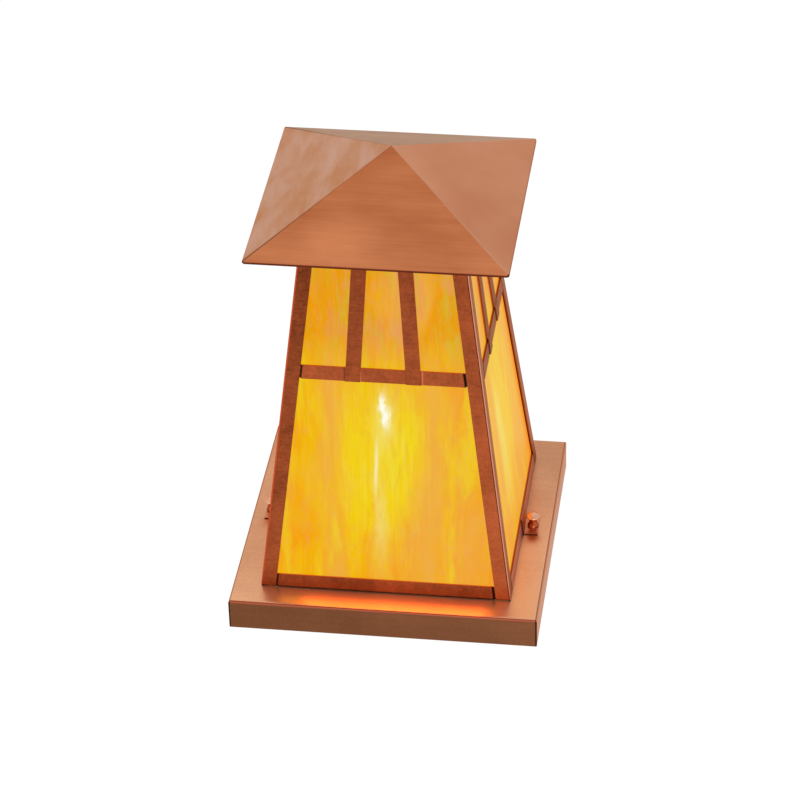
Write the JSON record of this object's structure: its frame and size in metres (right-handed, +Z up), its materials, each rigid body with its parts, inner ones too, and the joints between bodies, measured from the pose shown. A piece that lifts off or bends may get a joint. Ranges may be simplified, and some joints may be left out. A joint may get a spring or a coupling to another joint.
{
  "type": "pier mount light",
  "caption": "Square flared copper lantern with a pyramid roof and amber art glass, on a folded base pan that sits on a pier.",
  "frame": {"origin": "centre of the base pan's underside, on the plane that rests on the pier", "axes": "+Z up, -Y towards the front side, +X towards the right side, which carries a thumb screw"},
  "size_m": [0.264, 0.264, 0.4064],
  "materials": {
    "base_copper": "brushed light copper",
    "frame_copper": "dark brushed red copper",
    "roof_copper": "brushed copper with cloudy patina",
    "dark_copper": "dull dark copper",
    "knob_brass": "turned, copper-plated",
    "brass": "drawn sheet",
    "zinc": "zinc-plated steel",
    "green_zinc": "green-dyed earth screw",
    "porcelain": "white glazed porcelain",
    "art_glass": "streaky honey-amber opalescent glass, lit from inside",
    "frosted_glass": "inside-frosted bulb glass",
    "clear_glass": "clear glass",
    "black_glass": "black vitrite",
    "cap_nickel": "rolled aluminium",
    "solder": "tin-lead solder",
    "filament_wire": "nickel wire and tungsten coil"
  },
  "bodies": {
    "base": {"base_pan": "base_copper", "crossbar": "zinc", "ground_screw": "green_zinc", "nipple": "zinc", "lock_nuts": "zinc", "flat_washers": "zinc", "clinch_nuts": "zinc", "holder_bracket": "zinc", "holder_screws": "zinc", "holder_body": "porcelain", "screw_shell": "brass", "centre_contact": "brass", "contact_rivet": "brass", "terminal_screws": "brass"},
    "lantern": {"post_front_right": "frame_copper", "post_back_right": "frame_copper", "post_back_left": "frame_copper", "post_front_left": "frame_copper", "foot_rail_front": "frame_copper", "foot_rail_right": "frame_copper", "foot_rail_back": "frame_copper", "foot_rail_left": "frame_copper", "mid_bar_front": "frame_copper", "mid_bar_right": "frame_copper", "mid_bar_back": "frame_copper", "mid_bar_left": "frame_copper", "bars_front": "frame_copper", "bars_right": "frame_copper", "bars_back": "frame_copper", "bars_left": "frame_copper", "top_rail_front": "frame_copper", "top_rail_right": "frame_copper", "top_rail_back": "frame_copper", "top_rail_left": "frame_copper", "panel_front": "dark_copper", "panel_right": "dark_copper", "panel_back": "dark_copper", "panel_left": "dark_copper", "glass_front": "art_glass", "glass_right": "art_glass", "glass_back": "art_glass", "glass_left": "art_glass", "glass_clips": "dark_copper", "roof_front": "roof_copper", "roof_right": "roof_copper", "roof_back": "roof_copper", "roof_left": "roof_copper", "tab_right": "base_copper", "tab_left": "base_copper"},
    "shank_right": {"screw_shank_right": "zinc"},
    "knob_right": {"thumb_knob_right": "knob_brass"},
    "shank_left": {"screw_shank_left": "zinc"},
    "knob_left": {"thumb_knob_left": "knob_brass"},
    "lamp_foot": {"lamp_contact": "solder", "lamp_insulator": "black_glass"},
    "lamp": {"lamp_cap": "cap_nickel", "lamp_bulb": "frosted_glass", "lamp_stem": "clear_glass", "lamp_filament": "filament_wire"}
  },
  "joints": [
    {"name": "lantern_lift", "type": "slide", "parent": "base", "child": "lantern", "axis": [0, 0, 1], "range_m": [0, 0.2]},
    {"name": "screw_right_travel", "type": "slide", "parent": "lantern", "child": "shank_right", "axis": [0, 0, 1], "range_m": [0, 0.01375]},
    {"name": "screw_right_turn", "type": "hinge", "parent": "shank_right", "child": "knob_right", "pos_m": [0.1153, 0, 0.035], "axis": [0, 0, 1], "range_deg": [0, 4680]},
    {"name": "screw_left_travel", "type": "slide", "parent": "lantern", "child": "shank_left", "axis": [0, 0, 1], "range_m": [0, 0.01375]},
    {"name": "screw_left_turn", "type": "hinge", "parent": "shank_left", "child": "knob_left", "pos_m": [-0.1153, 0, 0.035], "axis": [0, 0, 1], "range_deg": [0, 4680]},
    {"name": "lamp_travel", "type": "slide", "parent": "base", "child": "lamp_foot", "axis": [0, 0, 1], "range_m": [0, 0.01995]},
    {"name": "lamp_turn", "type": "hinge", "parent": "lamp_foot", "child": "lamp", "pos_m": [0, 0, 0.07], "axis": [0, 0, 1], "range_deg": [0, 1980]}
  ],
  "couplings": [
    {"joint": "screw_right_turn", "follows": "screw_right_travel", "rad_per_m": 5937},
    {"joint": "screw_left_turn", "follows": "screw_left_travel", "rad_per_m": 5937},
    {"joint": "lamp_turn", "follows": "lamp_travel", "rad_per_m": 1731.6}
  ]
}
